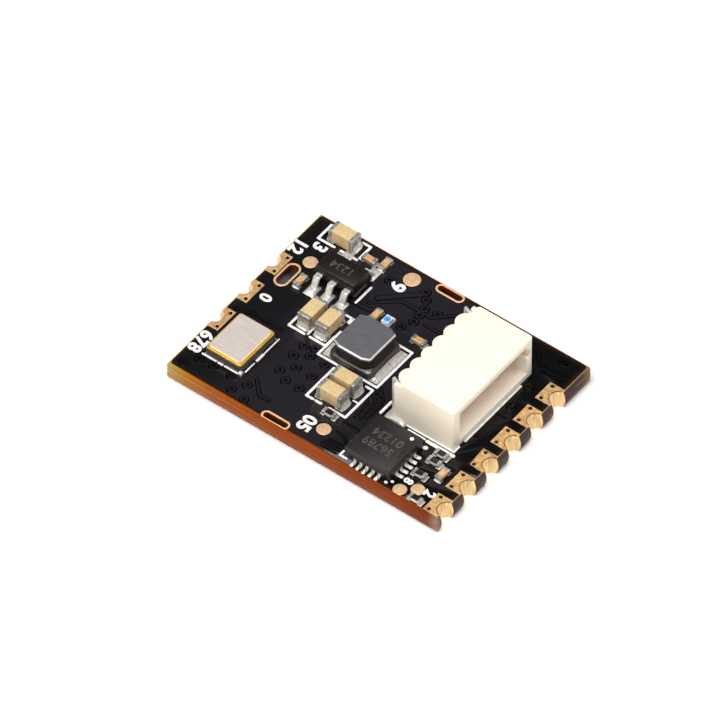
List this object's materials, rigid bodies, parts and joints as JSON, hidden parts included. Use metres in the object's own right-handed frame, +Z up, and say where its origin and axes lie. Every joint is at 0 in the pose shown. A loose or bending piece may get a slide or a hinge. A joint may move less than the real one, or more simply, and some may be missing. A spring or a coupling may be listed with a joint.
{
  "type": "flight controller board",
  "caption": "Small black circuit board with solder half-holes on two edges, a side-entry wire socket, a shielded inductor, a metal-lidded crystal, a regulator and a flat leadless chip.",
  "frame": {"origin": "middle of the board's underside, on the surface it rests on", "axes": "+X along the board's long side towards the longer row of half-holes and the socket's mouth, +Y across the board, +Z up through the component side"},
  "size_m": [0.0186, 0.0138, 0.0041],
  "materials": {
    "glass_epoxy": "routed glass-fibre and epoxy laminate",
    "inner_copper": "etched copper foil",
    "solder_mask": "black liquid photo-imaged mask, semi-gloss",
    "gold_plating": "immersion gold over nickel",
    "tinned_land": "tin-finished copper land",
    "nylon_housing": "moulded natural nylon",
    "tin_plate": "bright tin plate",
    "dark_ceramic": "fired dark ceramic",
    "quartz": "polished quartz",
    "lid_metal": "rolled nickel-iron sheet",
    "ferrite": "ground ferrite",
    "magnet_wire": "enamelled copper wire",
    "ferrite_resin": "cast ferrite-filled resin",
    "moulding_epoxy": "moulded black epoxy",
    "silicon": "ground silicon",
    "tan_ceramic": "fired tan dielectric ceramic",
    "brown_ceramic": "fired brown dielectric ceramic",
    "alumina": "white alumina",
    "black_glaze": "black overglaze",
    "white_laminate": "white resin board",
    "clear_lens": "clear blue-tinted epoxy",
    "solder": "reflowed solder",
    "white_print": "screen-printed white ink"
  },
  "bodies": {
    "root": {"laminate_core": "glass_epoxy", "upper_prepreg": "glass_epoxy", "lower_prepreg": "glass_epoxy", "ground_plane": "inner_copper", "supply_plane": "inner_copper", "top_solder_mask": "solder_mask", "bottom_solder_mask": "solder_mask", "through_vias": "inner_copper", "right_edge_pads": "gold_plating", "left_edge_pads": "gold_plating", "slot_platings": "gold_plating", "test_pads": "gold_plating", "component_lands": "tinned_land", "socket_housing": "nylon_housing", "socket_contacts": "tin_plate", "socket_tabs": "tin_plate", "crystal_base": "dark_ceramic", "crystal_terminals": "gold_plating", "crystal_blank": "quartz", "crystal_seal_ring": "gold_plating", "crystal_lid": "lid_metal", "inductor_core": "ferrite", "inductor_winding": "magnet_wire", "inductor_resin": "ferrite_resin", "inductor_terminals": "tin_plate", "regulator_body": "moulding_epoxy", "regulator_leads": "tin_plate", "regulator_die": "silicon", "chip_body": "moulding_epoxy", "chip_contacts": "tin_plate", "chip_heat_pad": "tin_plate", "chip_die": "silicon", "large_capacitor_bodies": "tan_ceramic", "large_capacitor_ends": "tin_plate", "small_capacitor_bodies": "brown_ceramic", "small_capacitor_ends": "tin_plate", "resistor_bodies": "alumina", "resistor_ends": "tin_plate", "resistor_coats": "black_glaze", "indicator_base": "white_laminate", "indicator_lens": "clear_lens", "indicator_terminals": "gold_plating"}
  },
  "joints": []
}
